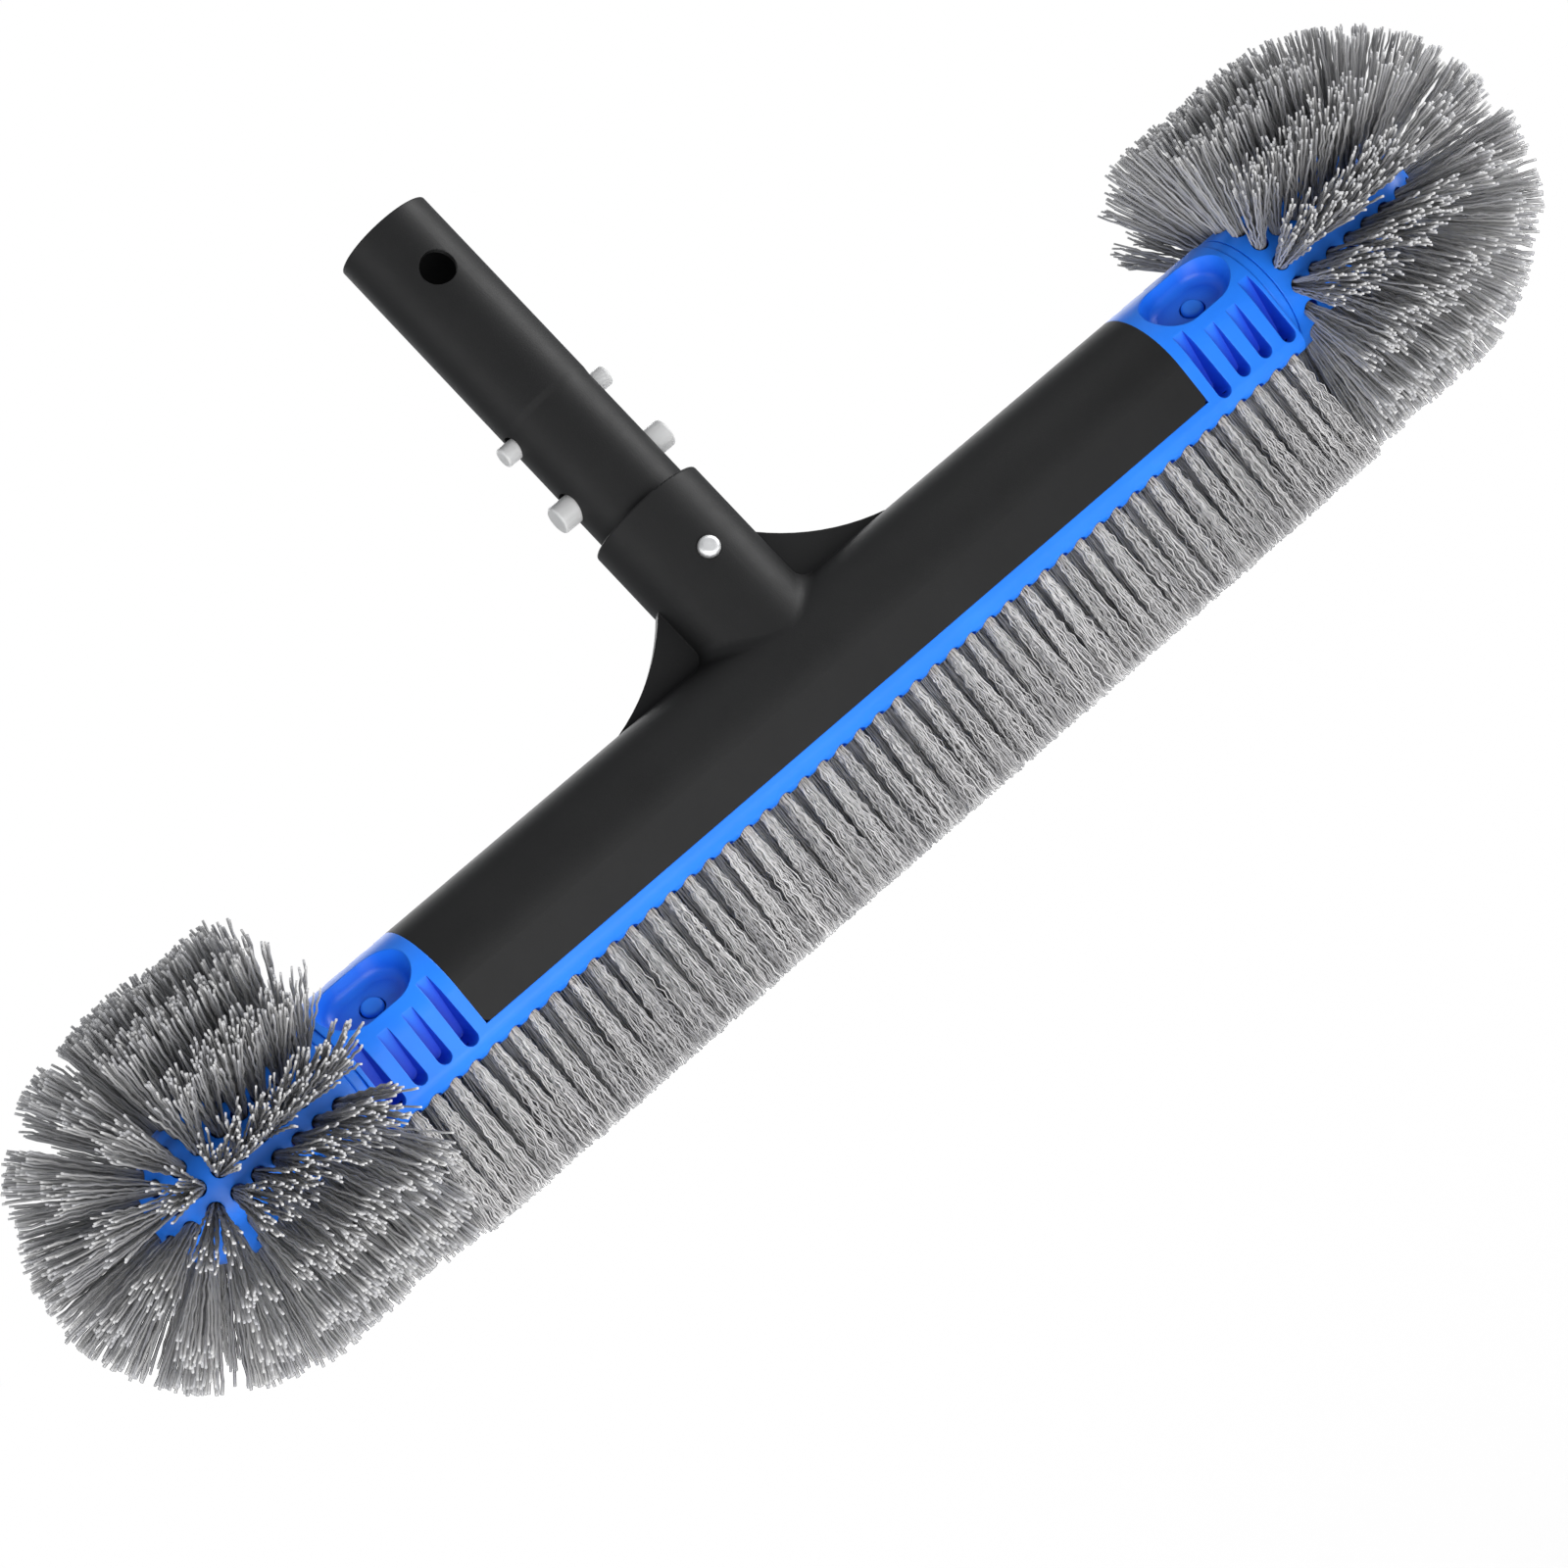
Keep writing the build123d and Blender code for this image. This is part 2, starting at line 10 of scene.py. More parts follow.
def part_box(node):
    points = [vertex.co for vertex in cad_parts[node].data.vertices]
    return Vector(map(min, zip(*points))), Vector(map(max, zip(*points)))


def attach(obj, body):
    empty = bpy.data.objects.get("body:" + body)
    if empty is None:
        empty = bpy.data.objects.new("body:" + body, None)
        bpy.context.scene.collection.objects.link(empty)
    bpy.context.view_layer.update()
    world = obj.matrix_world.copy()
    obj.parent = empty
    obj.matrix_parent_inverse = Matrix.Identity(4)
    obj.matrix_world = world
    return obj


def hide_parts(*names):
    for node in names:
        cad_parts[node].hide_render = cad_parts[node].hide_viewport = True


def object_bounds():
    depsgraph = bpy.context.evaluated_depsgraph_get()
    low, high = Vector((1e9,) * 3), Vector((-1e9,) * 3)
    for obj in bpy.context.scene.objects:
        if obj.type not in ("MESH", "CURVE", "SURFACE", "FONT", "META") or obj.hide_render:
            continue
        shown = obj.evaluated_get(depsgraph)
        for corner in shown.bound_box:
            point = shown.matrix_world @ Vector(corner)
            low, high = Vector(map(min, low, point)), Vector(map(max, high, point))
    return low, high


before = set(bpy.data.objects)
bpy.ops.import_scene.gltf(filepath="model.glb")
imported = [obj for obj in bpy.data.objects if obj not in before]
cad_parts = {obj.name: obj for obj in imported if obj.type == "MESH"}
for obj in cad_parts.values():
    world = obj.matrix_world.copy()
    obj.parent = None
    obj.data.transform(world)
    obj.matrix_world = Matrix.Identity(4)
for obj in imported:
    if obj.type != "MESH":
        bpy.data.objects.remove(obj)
cad_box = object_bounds()
rng = np.random.default_rng(20)

# Camera, in degrees, metres and millimetres of lens: it looks down a little on the front of the
# brush from the left, and is turned on its side
CAMERA_AZIMUTH = -18.62
CAMERA_ELEVATION = 5.22
CAMERA_ROLL = -39.0
CAMERA_DISTANCE = 1.518
CAMERA_AIM = Vector((-0.0202, 0.0052, 0.0347))
CAMERA_LENS = 135.86

MM = 0.001

# Radius of a CAD tuft at its cut end, and how deep in its hole the filaments of a tuft start
TUFT_TIP_R = 3.5 * MM
HOLE_DEPTH = 4.0 * MM

# Both kinds of tuft: FLARE is the outward lean of a filament at the rim and STRAY the spread of all
# leans, as slopes. TRIM is the spread of the cut ends and BOW that of the tips' sideways drift. WAVE
# is the height of the crimp and PITCH its length. SECTIONS are the cross-sections along a filament,
# and SIDES the sides of each

# Tufts under the bed. A tuft's filaments gather in strands that share a crimp and a tone, with a
# spread in the phase of the crimp, in radians
ROW_TUFTS = 48
STRANDS = 26
STRAND_CRIMP_SPREAD = 0.45
STRAND_TONE = 0.7
BED_FLARE = 0.062
BED_STRAY = 0.012
BED_TRIM = 0.5 * MM
BED_BOW = 0.5 * MM
BED_WAVE = 0.36 * MM
BED_PITCH = 4.1 * MM
BED_SIDES = 3
SCREW_GAP = 20 * MM
OUTER_ROW = {
    "filaments": 48,
    "sections": 19,
    "radius": 0.25 * MM,
    "root_r": 1.2 * MM,
    "halves": 2,
}
INNER_ROW = {
    "filaments": 36,
    "sections": 10,
    "radius": 0.20 * MM,
    "root_r": 1.9 * MM,
    "halves": 1,
}
BED_ROWS = {
    "front": OUTER_ROW,
    "second": INNER_ROW,
    "middle": INNER_ROW,
    "fourth": INNER_ROW,
    "back": OUTER_ROW,
}

# Tufts of an end brush: outward lean of each ring in degrees, from the bed to the nose, and the
# angle off the nose in degrees with the number of tufts for each ring of the nose
RING_LEANS = (-6.5, -4.0, -2.0, 0.0, 2.0, 4.0)
RING_TUFTS = 16
DOME_RINGS = ((67.0, 16), (44.0, 12), (22.0, 6), (0.0, 1))
END_FILAMENTS = 32
END_RADIUS = 0.36 * MM
END_ROOT_R = 1.2 * MM
END_FLARE = 0.145
END_STRAY = 0.013
END_TUFT_TRIM = 0.5 * MM
END_TRIM = 0.9 * MM
END_BOW = 0.9 * MM
END_WAVE = 0.2 * MM
END_PITCH = 6.5 * MM
END_SECTIONS = 12
END_SIDES = 4

# Crimp of a filament: length over which it fades in from the root, and how the turn of its sideways
# swing differs from that of its sway
CRIMP_FADE = 6 * MM
SWING_RATE = 0.83
SWING_SHIFT = 1.3

# Squared sideways part of a direction: below the first number the direction counts as running along
# the brush, and the second keeps a division finite
ALONG_LIMIT = 1e-4
TINY = 1e-6

# Studio, in metres
FLOOR_DROP = 0.3
FLOOR_HALF = 4.0


def towards(azimuth, elevation):
    """Unit vector from the brush to a lamp or camera. Azimuth 0 is in front of the brush."""
    around, above = math.radians(azimuth), math.radians(elevation)
    return Vector(
        (math.sin(around) * math.cos(above), -math.cos(around) * math.cos(above), math.sin(above))
    )


# Materials


def node_tree(name):
    """A new material's nodes, links and its one Principled shader."""
    made = bpy.data.materials.new(name)
    made.use_nodes = True
    tree = made.node_tree
    return made, tree.nodes, tree.links, tree.nodes["Principled BSDF"]


def noise(nodes, links, scale, detail):
    """A noise texture in object space."""
    coordinates = nodes.new("ShaderNodeTexCoord")
    texture = nodes.new("ShaderNodeTexNoise")
    texture.inputs["Scale"].default_value = scale
    texture.inputs["Detail"].default_value = detail
    links.new(coordinates.outputs["Object"], texture.inputs["Vector"])
    return texture.outputs["Fac"]


def ramp(nodes, links, value, stops):
    """A colour ramp on a value. stops are (position, colour)."""
    made = nodes.new("ShaderNodeValToRGB")
    elements = made.color_ramp.elements
    for place, _ in stops[2:]:
        elements.new(place)
    for element, (place, colour) in zip(elements, stops):
        element.position = place
        element.color = (*colour, 1)
    links.new(value, made.inputs["Fac"])
    return made.outputs["Color"]


def spread(nodes, links, value, low, high):
    """Maps a value from 0..1 to low..high."""
    made = nodes.new("ShaderNodeMapRange")
    made.inputs["To Min"].default_value = low
    made.inputs["To Max"].default_value = high
    links.new(value, made.inputs["Value"])
    return made.outputs["Result"]


def cloudy(nodes, links, scale, dark, light):
    """A colour that drifts between dark and light in soft clouds."""
    cloud = noise(nodes, links, scale=scale, detail=3)
    return ramp(nodes, links, cloud, ((0.3, dark), (0.7, light)))


def rounded_bump(nodes, links, shader, height, distance, edge):
    """Fine relief over a normal that is rounded at the edges of the part."""
    bevel = nodes.new("ShaderNodeBevel")
    bevel.samples = 4
    bevel.inputs["Radius"].default_value = edge
    bump = nodes.new("ShaderNodeBump")
    bump.inputs["Distance"].default_value = distance
    links.new(height, bump.inputs["Height"])
    links.new(bevel.outputs["Normal"], bump.inputs["Normal"])
    links.new(bump.outputs["Normal"], shader.inputs["Normal"])


def moulded(name, dark, light, rough, grain, relief, specular=0.5):
    """Moulded plastic: cloudy colour, uneven gloss and a fine grain."""
    made, nodes, links, shader = node_tree(name)
    links.new(cloudy(nodes, links, 45, dark, light), shader.inputs["Base Color"])
    gloss = noise(nodes, links, scale=160, detail=4)
    links.new(spread(nodes, links, gloss, *rough), shader.inputs["Roughness"])
    shader.inputs["Specular IOR Level"].default_value = specular
    height = noise(nodes, links, scale=grain, detail=2)
    rounded_bump(nodes, links, shader, height, distance=relief, edge=0.5 * MM)
    return made


def paint_hollow_shade(made, distance, shut, clear, colour):
    """Paints shade into a material: turns it to colour where the part closes itself in within
    distance.

    shut and clear are the open shares of the view at which the change is full and has gone.
    """
    nodes, links = made.node_tree.nodes, made.node_tree.links
    shader = nodes["Principled BSDF"]
    # Painted shade: the part's own occlusion darkens its colour to the given shade colour in
    # hollows.
    hollow = nodes.new("ShaderNodeAmbientOcclusion")
    hollow.only_local = True
    hollow.samples = 8
    hollow.inputs["Distance"].default_value = distance
    openness = nodes.new("ShaderNodeMapRange")
    openness.inputs["From Min"].default_value = shut
    openness.inputs["From Max"].default_value = clear
    links.new(hollow.outputs["AO"], openness.inputs["Value"])
    mix = nodes.new("ShaderNodeMix")
    mix.data_type = "RGBA"
    mix.inputs["A"].default_value = colour + (1,)
    links.new(openness.outputs["Result"], mix.inputs["Factor"])
    links.new(shader.inputs["Base Color"].links[0].from_socket, mix.inputs["B"])
    links.new(mix.outputs["Result"], shader.inputs["Base Color"])
    return made


def black_plastic():
    """Grained black, with painted shade that darkens it further in the corners beside the webs."""
    made = moulded(
        "black_plastic",
        dark=(0.0070, 0.0070, 0.0072),
        light=(0.0090, 0.0090, 0.0092),
        rough=(0.46, 0.58),
        grain=2600,
        relief=0.03 * MM,
        specular=0.28,
    )
    # Painted shade in the corners and hollows of the black parts.
    return paint_hollow_shade(made, distance=30 * MM, shut=0.45, clear=0.97, colour=(0.0022, 0.0022, 0.0023))


def blue_plastic():
    """Grained blue, with painted shade that deepens it in its recesses and grooves."""
    made = moulded(
        "blue_plastic",
        dark=(0.012, 0.185, 0.84),
        light=(0.017, 0.210, 0.92),
        rough=(0.34, 0.42),
        grain=1500,
        relief=0.012 * MM,
        specular=0.35,
    )
    # Painted shade in the recesses and grooves of the blue parts.
    return paint_hollow_shade(made, distance=12 * MM, shut=0.40, clear=0.97, colour=(0.004, 0.045, 0.56))


def white_plastic():
    """Milky, slightly see-through nylon of the clip and its pins."""
    made = moulded(
        "white_plastic",
        dark=(0.50, 0.50, 0.50),
        light=(0.56, 0.56, 0.555),
        rough=(0.28, 0.36),
        grain=1200,
        relief=0.01 * MM,
    )
    shader = made.node_tree.nodes["Principled BSDF"]
    shader.inputs["Subsurface Weight"].default_value = 0.5
    shader.inputs["Subsurface Radius"].default_value = (1.0, 1.0, 1.0)
    shader.inputs["Subsurface Scale"].default_value = 2.5 * MM
    return made


def steel():
    """Satin stainless steel."""
    made, nodes, links, shader = node_tree("satin_steel")
    shader.inputs["Metallic"].default_value = 1
    dark, light = (0.80, 0.80, 0.80), (0.90, 0.90, 0.90)
    links.new(cloudy(nodes, links, 300, dark, light), shader.inputs["Base Color"])
    gloss = noise(nodes, links, scale=900, detail=4)
    links.new(spread(nodes, links, gloss, low=0.44, high=0.54), shader.inputs["Roughness"])
    height = noise(nodes, links, scale=2200, detail=2)
    rounded_bump(nodes, links, shader, height, distance=0.01 * MM, edge=0.3 * MM)
    return made


def nylon(name, root, body, tip, tip_start, darkest):
    """Filament nylon: browner at the root, grey along its length, with painted light paling the cut
    tip.

    The "shade" of a filament scales its colour. Its darkest and its lightest tone add up to
    tone_sum, and the darkest is a little cooler.
    """
    root_end = 0.16
    tip_blend = 0.012
    tone_sum = (1.84, 1.83, 1.82)
    cool = 1.04
    made, nodes, links, shader = node_tree(name)
    along = nodes.new("ShaderNodeAttribute")
    along.attribute_name = "along"
    shade = nodes.new("ShaderNodeAttribute")
    shade.attribute_name = "shade"
    # The pale tip stop is painted light: light coming through the filament shines out of its cut
    # end.
    colour = ramp(
        nodes,
        links,
        along.outputs["Fac"],
        ((0.0, root), (root_end, body), (tip_start, body), (tip_start + tip_blend, tip)),
    )
    strands = nodes.new("ShaderNodeMix")
    strands.data_type = "RGBA"
    strands.blend_type = "MULTIPLY"
    strands.inputs["Factor"].default_value = 1
    links.new(colour, strands.inputs["A"])
    dark = (darkest, darkest, darkest * cool)
    light = tuple(total - darkest for total in tone_sum)
    tones = ramp(nodes, links, shade.outputs["Fac"], ((0.0, dark), (1.0, light)))
    links.new(tones, strands.inputs["B"])
    links.new(strands.outputs["Result"], shader.inputs["Base Color"])
    crimp = noise(nodes, links, scale=620, detail=1)
    links.new(spread(nodes, links, crimp, low=0.36, high=0.56), shader.inputs["Roughness"])
    bump = nodes.new("ShaderNodeBump")
    bump.inputs["Distance"].default_value = 0.35 * MM
    links.new(crimp, bump.inputs["Height"])
    links.new(bump.outputs["Normal"], shader.inputs["Normal"])
    shader.inputs["Specular IOR Level"].default_value = 0.3
    return made


# Filaments


def square_to(axes):
    """Two unit vectors square to each axis and to each other."""
    close_to_x = 0.9
    helper = np.where(np.abs(axes[:, :1]) < close_to_x, [[1.0, 0, 0]], [[0, 1.0, 0]])
    first = np.cross(axes, helper)
    first /= np.linalg.norm(first, axis=1, keepdims=True)
    return first, np.cross(axes, first)


def filament_mesh(name, paths, radius, sides, shades):
    """One mesh of filaments, each closed at its tip. paths has the shape (filament, section, 3).

    Its "along" runs from 0 at a root to 1 at a tip, and its "shade" is one value per filament.
    """
    count, sections, _ = paths.shape
    ways = paths[:, -1] - paths[:, 0]
    ways /= np.linalg.norm(ways, axis=1, keepdims=True)
    first, second = square_to(ways)
    turns = np.arange(sides) * 2 * math.pi / sides
    circle = np.cos(turns)[:, None] * first[:, None] + np.sin(turns)[:, None] * second[:, None]
    points = paths[:, :, None, :] + radius * circle[:, None, :, :]
    section, side = np.meshgrid(np.arange(sections - 1), np.arange(sides), indexing="ij")
    after = (side + 1) % sides
    wall = np.stack(
        (
            section * sides + side,
            section * sides + after,
            (section + 1) * sides + after,
            (section + 1) * sides + side,
        ),
        axis=-1,
    ).reshape(-1, 4)
    cap = (sections - 1) * sides + np.arange(sides)
    start = np.arange(count)[:, None] * sections * sides
    corners = np.concatenate(
        (start + wall.reshape(1, -1), start + cap.reshape(1, -1)), axis=1
    ).ravel()
    sizes = np.tile(np.r_[np.full(len(wall), 4), sides], count)
    starts = np.r_[0, np.cumsum(sizes)[:-1]]
    mesh = bpy.data.meshes.new(name)
    mesh.vertices.add(count * sections * sides)
    mesh.vertices.foreach_set("co", points.reshape(-1).astype(np.float32))
    mesh.loops.add(len(corners))
    mesh.loops.foreach_set("vertex_index", corners.astype(np.int32))
    mesh.polygons.add(len(sizes))
    mesh.polygons.foreach_set("loop_start", starts.astype(np.int32))
    mesh.update(calc_edges=True)
    smooth = np.tile(np.r_[np.ones(len(wall), bool), False], count)
    mesh.polygons.foreach_set("use_smooth", smooth)
    for attribute, values in (
        ("along", np.broadcast_to(np.linspace(0, 1, sections)[None, :, None], points.shape[:3])),
        ("shade", np.broadcast_to(shades[:, None, None], points.shape[:3])),
    ):
        layer = mesh.attributes.new(attribute, "FLOAT", "POINT")
        layer.data.foreach_set("value", values.reshape(-1).astype(np.float32))
    made = bpy.data.objects.new(name, mesh)
    bpy.context.scene.collection.objects.link(made)
    return made


def fan(roots, axes, count, root_r, flare, stray):
    """Start, direction and place around its tuft of every filament.

    Those at a tuft's rim lean out by flare, and stray is the spread of every filament's own lean.
    """
    tufts = len(roots)
    first, second = square_to(axes)
    turn = rng.uniform(0, 2 * math.pi, (tufts, count))
    out = np.sqrt((np.arange(count)[None, :] + rng.uniform(0.1, 0.9, (tufts, count))) / count)
    across = (
        np.cos(turn)[..., None] * first[:, None] + np.sin(turn)[..., None] * second[:, None]
    ) * out[..., None]
    own = rng.normal(0, stray, (tufts, count, 2))
    lean = flare * across + own[..., :1] * first[:, None] + own[..., 1:] * second[:, None]
    starts = roots[:, None] + across * root_r
    ways = axes[:, None] + lean
    ways /= np.linalg.norm(ways, axis=2, keepdims=True)
    return starts.reshape(-1, 3), ways.reshape(-1, 3), turn.reshape(-1)


def wavy(starts, ways, lengths, sections, bow, wave, pitch, phases):
    """Centre lines that bow a little and carry a crimp of the given wave, pitch and phases."""
    count = len(starts)
    share = np.linspace(0, 1, sections)
    first, second = square_to(ways)
    place = share[None, :] * lengths[:, None]
    turn = phases[:, None] + place * 2 * math.pi / pitch
    grip = np.clip(place / CRIMP_FADE, 0, 1)
    sway = wave * grip * np.sin(turn)
    swing = wave * grip * np.cos(turn * SWING_RATE + SWING_SHIFT * phases[:, None])
    bows = rng.normal(0, bow, (count, 2))
    sway = sway + bows[:, :1] * share[None, :] ** 2
    swing = swing + bows[:, 1:] * share[None, :] ** 2
    return (
        starts[:, None]
        + ways[:, None] * place[..., None]
        + first[:, None] * sway[..., None]
        + second[:, None] * swing[..., None]
    )


def reach(starts, ways, centre, radius, side):
    """Distance along each way to a cylinder about the X line through centre.

    On the side that side says, -1 or 1, a half ball about centre closes the cylinder.
    """
    offset = starts - centre
    ray, from_line = ways[:, 1:], offset[:, 1:]
    a = (ray**2).sum(1)
    b = (ray * from_line).sum(1)
    c = (from_line**2).sum(1) - radius**2
    wall = (-b + np.sqrt(np.maximum(b * b - a * c, 0))) / np.maximum(a, TINY)
    b = (ways * offset).sum(1)
    c = (offset**2).sum(1) - radius**2
    ball = -b + np.sqrt(np.maximum(b * b - c, 0))
    end = offset[:, 0] + ways[:, 0] * wall
    return np.where((end * side > 0) | (a < ALONG_LIMIT), ball, wall)


def bed_tufts(row, box, filaments, sections, radius, root_r, halves):
    """One row of tufts under the bed that fills box, in as many meshes as halves says."""
    low, high = box
    xs = np.linspace(low.x + TUFT_TIP_R, high.x - TUFT_TIP_R, ROW_TUFTS)
    if row == "middle":
        screws = screw_places()
        xs = xs[np.min(np.abs(xs[:, None] - screws[None, :]), axis=1) > TUFT_TIP_R]
    y = (low.y + high.y) / 2
    made = []
    for number, share in enumerate(np.array_split(xs, halves)):
        roots = np.column_stack(
            (share, np.full(len(share), y), np.full(len(share), bed_under + HOLE_DEPTH))
        )
        axes = np.tile([0.0, 0.0, -1.0], (len(share), 1))
        starts, ways, turn = fan(roots, axes, filaments, root_r, BED_FLARE, BED_STRAY)
        lengths = (starts[:, 2] - low.z) / -ways[:, 2]
        lengths -= np.abs(rng.normal(0, BED_TRIM, len(lengths)))
        strands = rng.uniform(0, 2 * math.pi, (len(share), STRANDS))
        strand = (turn / (2 * math.pi) * STRANDS).astype(int) % STRANDS
        tuft = np.repeat(np.arange(len(share)), filaments)
        phases = strands[tuft, strand] + rng.normal(0, STRAND_CRIMP_SPREAD, len(turn))
        paths = wavy(starts, ways, lengths, sections, BED_BOW, BED_WAVE, BED_PITCH, phases)
        tones = rng.uniform(0, STRAND_TONE, (len(share), STRANDS))[tuft, strand]
        shades = tones + rng.uniform(0, 1 - STRAND_TONE, len(turn))
        suffix = "" if halves == 1 else "_" + "ab"[number]
        made.append(filament_mesh("bristles_" + row + suffix, paths, radius, BED_SIDES, shades))
    return made


def screw_places():
    """X of each screw. Points more than SCREW_GAP apart along X belong to different screws."""
    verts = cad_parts["housing_screws"].data.vertices
    xs = np.sort(np.array([vertex.co.x for vertex in verts]))
    groups = np.split(xs, np.where(np.diff(xs) > SCREW_GAP)[0] + 1)
    return np.array([(group[0] + group[-1]) / 2 for group in groups])


def ring_tuft_roots(end, side):
    """Root and direction of the tufts on the straight part of a hub."""
    low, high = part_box(end + "_ring_tufts")
    xs = np.linspace(low.x + TUFT_TIP_R, high.x - TUFT_TIP_R, len(RING_LEANS))
    if side < 0:
        xs = xs[::-1]
    roots, axes = [], []
    for x, lean in zip(xs, np.radians(RING_LEANS)):
        for number in range(RING_TUFTS):
            turn = (number + 0.5) * 2 * math.pi / RING_TUFTS
            out = np.array([0, -math.cos(turn), math.sin(turn)])
            roots.append(np.array([x, 0, axis_z]) + out * (hub_r - HOLE_DEPTH))
            axes.append(out * math.cos(lean) + np.array([side * math.sin(lean), 0, 0]))
    return np.array(roots), np.array(axes)


def dome_tuft_roots(end, side):
    """Root and direction of the tufts on the round nose of a hub."""
    centre = np.array([nose_x(end, side), 0, axis_z])
    roots, axes = [], []
    for polar, count in DOME_RINGS:
        off = math.radians(polar)
        for number in range(count):
            turn = (number + 0.5) * 2 * math.pi / count
            out = np.array(
                [
                    side * math.cos(off),
                    -math.sin(off) * math.cos(turn),
                    math.sin(off) * math.sin(turn),
                ]
            )
            roots.append(centre + out * (hub_r - HOLE_DEPTH))
            axes.append(out)
    return np.array(roots), np.array(axes)


def nose_x(end, side):
    """X of the centre of a hub's round nose."""
    low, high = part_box(end + "_hub")
    return high.x - hub_r if side > 0 else low.x + hub_r


def end_tufts(name, side, centre, places):
    """Tufts of an end brush, cut to a cylinder that a half ball about centre closes."""
    roots, axes = places
    starts, ways, turn = fan(roots, axes, END_FILAMENTS, END_ROOT_R, END_FLARE, END_STRAY)
    lengths = reach(starts, ways, centre, tip_r, side)
    trim = np.repeat(rng.normal(0, END_TUFT_TRIM, len(roots)), END_FILAMENTS)
    lengths += trim - np.abs(rng.normal(0, END_TRIM, len(lengths)))
    phases = rng.uniform(0, 2 * math.pi, len(turn))
    paths = wavy(starts, ways, lengths, END_SECTIONS, END_BOW, END_WAVE, END_PITCH, phases)
    shades = rng.uniform(0, 1, len(turn))
    return filament_mesh(name, paths, END_RADIUS, END_SIDES, shades)


# Sizes read from the frame

hub_low, hub_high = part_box("left_hub")
hub_r = (hub_high.z - hub_low.z) / 2
axis_z = (hub_high.z + hub_low.z) / 2
tip_r = axis_z - cad_box[0].z
bed_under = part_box("brush_bed")[0].z

# Carried-over CAD parts

FINISHES = {
    "black": black_plastic(),
    "blue": blue_plastic(),
    "white": white_plastic(),
    "steel": steel(),
}
CAD_FINISH = {
    "black": ("back_housing", "handle_tube"),
    "blue": (
        "brush_bed",
        "left_hub",
        "left_spigot",
        "left_snap_front",
        "left_snap_rear",
        "right_hub",
        "right_spigot",
        "right_snap_front",
        "right_snap_rear",
    ),
    "white": ("clip_bend", "clip_left_arm", "clip_right_arm"),
    "steel": ("housing_screws", "handle_snap"),
}
for finish, nodes in CAD_FINISH.items():
    for node in nodes:
        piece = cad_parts[node]
        piece.data.materials.clear()
        piece.data.materials.append(FINISHES[finish])

# Bristles

# The tip colours of both nylons are painted light shining out of the filaments' cut ends.
bed_nylon = nylon(
    "bed_nylon",
    root=(0.34, 0.29, 0.26),
    body=(0.56, 0.555, 0.555),
    tip=(0.62, 0.62, 0.62),
    tip_start=0.975,
    darkest=0.46,
)
end_nylon = nylon(
    "end_nylon",
    root=(0.29, 0.26, 0.24),
    body=(0.40, 0.40, 0.40),
    tip=(0.57, 0.57, 0.57),
    tip_start=0.978,
    darkest=0.78,
)
for row, detail in BED_ROWS.items():
    node = "bed_tufts_" + row
    for piece in bed_tufts(row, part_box(node), **detail):
        piece.data.materials.append(bed_nylon)
        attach(piece, "head")
        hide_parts(node)
for end, side in (("left", -1), ("right", 1)):
    centre = np.array([nose_x(end, side), 0, axis_z])
    roots, axes = ring_tuft_roots(end, side)
    front = axes[:, 1] < 0
    for kind, name, places in (
        ("ring", "front", (roots[front], axes[front])),
        ("ring", "rear", (roots[~front], axes[~front])),
        ("dome", "nose", dome_tuft_roots(end, side)),
    ):
        piece = end_tufts(end + "_bristles_" + name, side, centre, places)
        piece.data.materials.append(end_nylon)
        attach(piece, end + "_end")
        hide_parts(end + "_" + kind + "_tufts")


# Stage, light and camera


def softbox(name, azimuth, elevation, distance, size, power):
    """A rectangular area light that faces the middle of the brush."""
    lamp = bpy.data.lights.new(name, "AREA")
    lamp.shape = "RECTANGLE"
    lamp.size, lamp.size_y = size
    lamp.energy = power
    made = bpy.data.objects.new(name, lamp)
    bpy.context.scene.collection.objects.link(made)
    back = towards(azimuth, elevation)
    made.location = middle + back * distance
    made.rotation_mode = "QUATERNION"
    made.rotation_quaternion = (-back).to_track_quat("-Z", "Y")


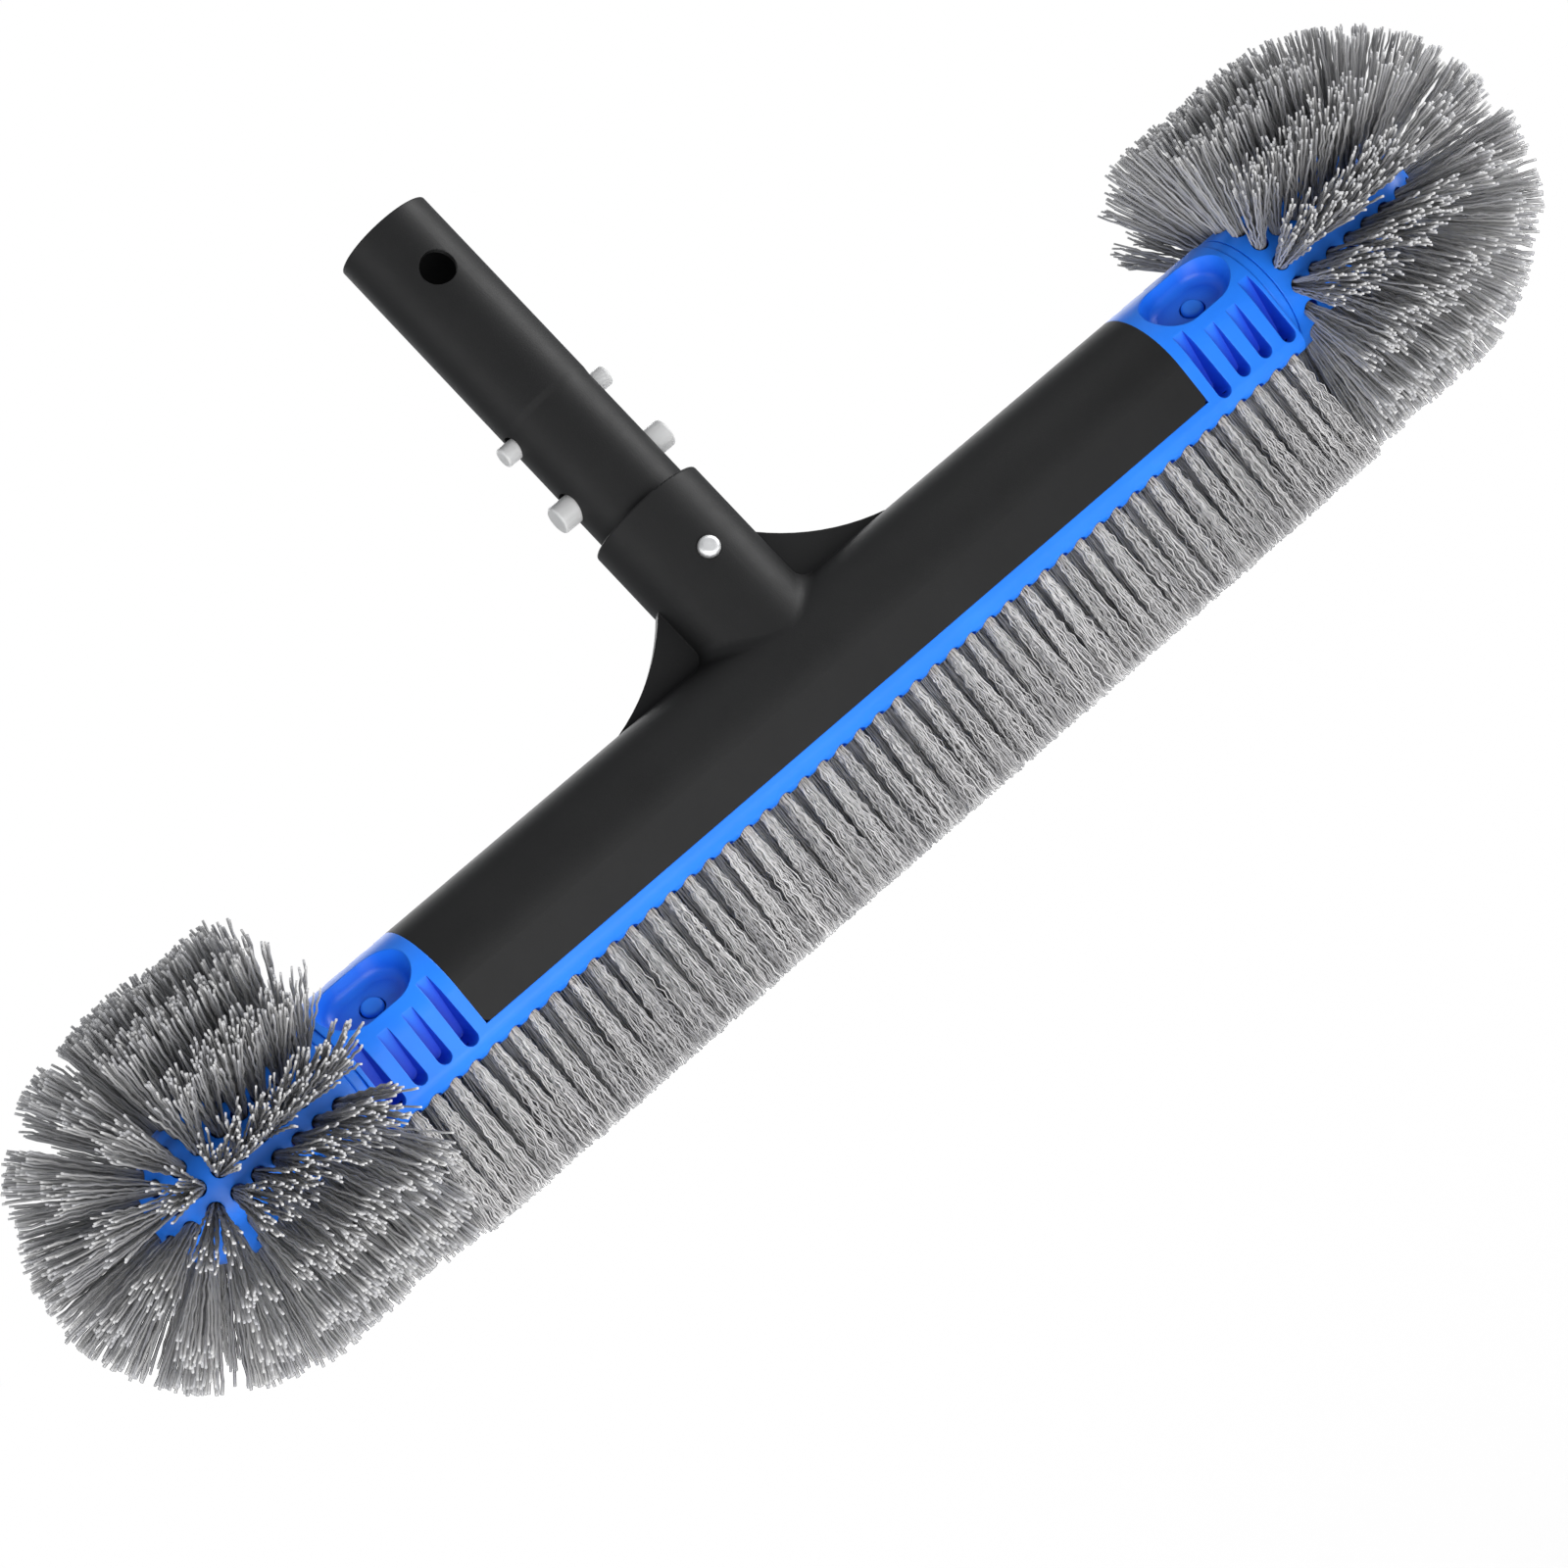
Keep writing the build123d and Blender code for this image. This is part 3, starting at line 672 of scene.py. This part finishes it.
def white_world():
    """White to look at, and softer as a light, so that dark plastic stays dark."""
    world = bpy.data.worlds.new("white_studio")
    world.use_nodes = True
    nodes, links = world.node_tree.nodes, world.node_tree.links
    light = nodes["Background"]
    light.inputs["Color"].default_value = (0.93, 0.96, 1.0, 1)
    light.inputs["Strength"].default_value = 0.31
    seen = nodes.new("ShaderNodeBackground")
    seen.inputs["Color"].default_value = (1, 1, 1, 1)
    mix = nodes.new("ShaderNodeMixShader")
    path = nodes.new("ShaderNodeLightPath")
    links.new(path.outputs["Is Camera Ray"], mix.inputs["Fac"])
    links.new(light.outputs["Background"], mix.inputs[1])
    links.new(seen.outputs["Background"], mix.inputs[2])
    links.new(mix.outputs["Shader"], nodes["World Output"].inputs["Surface"])
    bpy.context.scene.world = world


def floor(z, half):
    """A pale floor that only shows the shadow on it, and lets the lamp under it shine through."""
    mesh = bpy.data.meshes.new("floor")
    mesh.from_pydata(
        [(-half, -half, z), (half, -half, z), (half, half, z), (-half, half, z)],
        [],
        [(0, 1, 2, 3)],
    )
    made = bpy.data.objects.new("floor", mesh)
    bpy.context.scene.collection.objects.link(made)
    material, _, _, shader = node_tree("floor_paper")
    shader.inputs["Base Color"].default_value = (0.9, 0.9, 0.9, 1)
    shader.inputs["Roughness"].default_value = 0.9
    mesh.materials.append(material)
    made.is_shadow_catcher = True
    made.visible_shadow = False


middle = (cad_box[0] + cad_box[1]) / 2
white_world()
floor(cad_box[0].z - FLOOR_DROP, FLOOR_HALF)
softbox("low_front", azimuth=-18, elevation=-22, distance=1.7, size=(1.7, 0.9), power=31)
softbox("left", azimuth=-80, elevation=8, distance=1.6, size=(0.9, 1.2), power=7)
softbox("side_strip", azimuth=80, elevation=15, distance=1.3, size=(0.35, 1.4), power=16)
softbox("top", azimuth=0, elevation=84, distance=1.5, size=(1.6, 1.2), power=1.5)
softbox("back", azimuth=172, elevation=20, distance=1.8, size=(1.8, 1.0), power=14)

camera = bpy.data.objects.new("camera", bpy.data.cameras.new("camera"))
bpy.context.scene.collection.objects.link(camera)
camera.data.sensor_width = 36
camera.data.lens = CAMERA_LENS
back = towards(CAMERA_AZIMUTH, CAMERA_ELEVATION)
camera.location = CAMERA_AIM + back * CAMERA_DISTANCE
upright = (-back).to_track_quat("-Z", "Y").to_matrix()
turned = upright @ Matrix.Rotation(math.radians(CAMERA_ROLL), 3, "Z")
camera.rotation_mode = "QUATERNION"
camera.rotation_quaternion = turned.to_quaternion()
bpy.context.scene.camera = camera
bpy.context.scene.view_settings.view_transform = "Standard"
